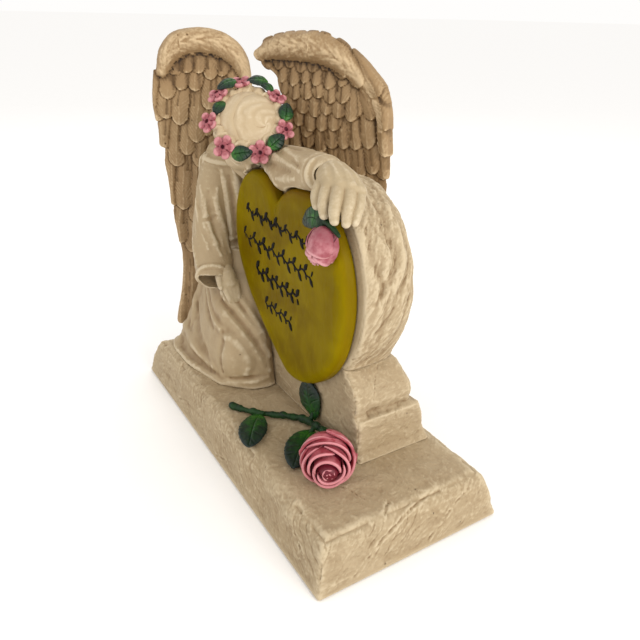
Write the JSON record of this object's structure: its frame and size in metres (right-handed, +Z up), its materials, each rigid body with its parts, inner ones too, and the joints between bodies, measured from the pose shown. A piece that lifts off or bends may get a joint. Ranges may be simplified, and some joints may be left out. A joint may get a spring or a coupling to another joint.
{
  "type": "memorial angel figurine",
  "caption": "Kneeling winged angel leaning over a heart-shaped stone with a translucent lit heart plate, on a stepped plinth and rough slab with a long-stemmed rose.",
  "frame": {"origin": "centre of the slab's footprint, on the surface the figurine stands on", "axes": "+X to the viewer's right when the heart faces the viewer (the slab's long side), +Y to the back, +Z up"},
  "size_m": [0.22, 0.1034, 0.2136],
  "materials": {
    "stone_ivory": "cast stone-filled resin, hand painted ivory with a tan wash in the hollows",
    "robe_ivory": "cast resin, pale ivory, satin, thin brown wash in the folds",
    "wing_ivory": "cast resin, ivory dry-brushed over brown wash",
    "heart_amber": "translucent olive-amber cast resin, glossy",
    "rose_pink": "hand-painted satin pink, crimson in the hollows",
    "leaf_green": "hand-painted satin dark green",
    "black_abs": "moulded black plastic, fine texture",
    "white_nub": "moulded white plastic",
    "contact_steel": "nickel-plated sheet and spring wire",
    "cell_wrap": "plain shrink-wrapped cell",
    "board_green": "solder-masked board",
    "led_epoxy": "clear warm epoxy",
    "foot_rubber": "soft black rubber",
    "wire_red": "insulated lead",
    "wire_black": "insulated lead"
  },
  "bodies": {
    "root": {"base_slab": "stone_ivory", "stepped_pedestal": "stone_ivory", "heart_stone": "stone_ivory", "robe_skirt": "robe_ivory", "torso": "robe_ivory", "right_sleeve": "robe_ivory", "left_sleeve": "robe_ivory", "left_hand": "robe_ivory", "right_hand": "robe_ivory", "head": "robe_ivory", "crown_band": "robe_ivory", "right_wing": "wing_ivory", "left_wing": "wing_ivory", "heart_lens": "heart_amber", "crown_flower_1": "rose_pink", "crown_flower_2": "rose_pink", "crown_flower_3": "rose_pink", "crown_flower_4": "rose_pink", "crown_flower_5": "rose_pink", "crown_flower_6": "rose_pink", "crown_flower_7": "rose_pink", "heart_rosebud": "rose_pink", "rose_bloom": "rose_pink", "crown_leaf_1": "leaf_green", "crown_leaf_2": "leaf_green", "crown_leaf_3": "leaf_green", "crown_leaf_4": "leaf_green", "crown_leaf_5": "leaf_green", "crown_leaf_6": "leaf_green", "crown_leaf_7": "leaf_green", "heart_rose_leaf": "leaf_green", "heart_rose_stem": "leaf_green", "rose_stem": "leaf_green", "rose_leaf_1": "leaf_green", "rose_leaf_2": "leaf_green", "rose_leaf_3": "leaf_green", "battery_housing": "black_abs", "switch_body": "contact_steel", "contact_link": "contact_steel", "contact_positive": "contact_steel", "contact_negative": "contact_steel", "battery_cell_1": "cell_wrap", "battery_cell_2": "cell_wrap", "led_board": "board_green", "led_1": "led_epoxy", "led_2": "led_epoxy", "rubber_foot_1": "foot_rubber", "rubber_foot_2": "foot_rubber", "rubber_foot_3": "foot_rubber", "rubber_foot_4": "foot_rubber", "wire_positive": "wire_red", "wire_negative": "wire_black", "wire_switch": "wire_black"},
    "battery_door": {"battery_door": "black_abs"},
    "switch_slider": {"switch_slider": "white_nub"}
  },
  "joints": [
    {"name": "battery_door_hinge", "type": "hinge", "parent": "root", "child": "battery_door", "pos_m": [-0.0249, 0, 0.0019], "axis": [0, 1, 0], "range_deg": [0, 95]},
    {"name": "switch_slide", "type": "slide", "parent": "root", "child": "switch_slider", "axis": [1, 0, 0], "range_m": [0, 0.003]}
  ]
}
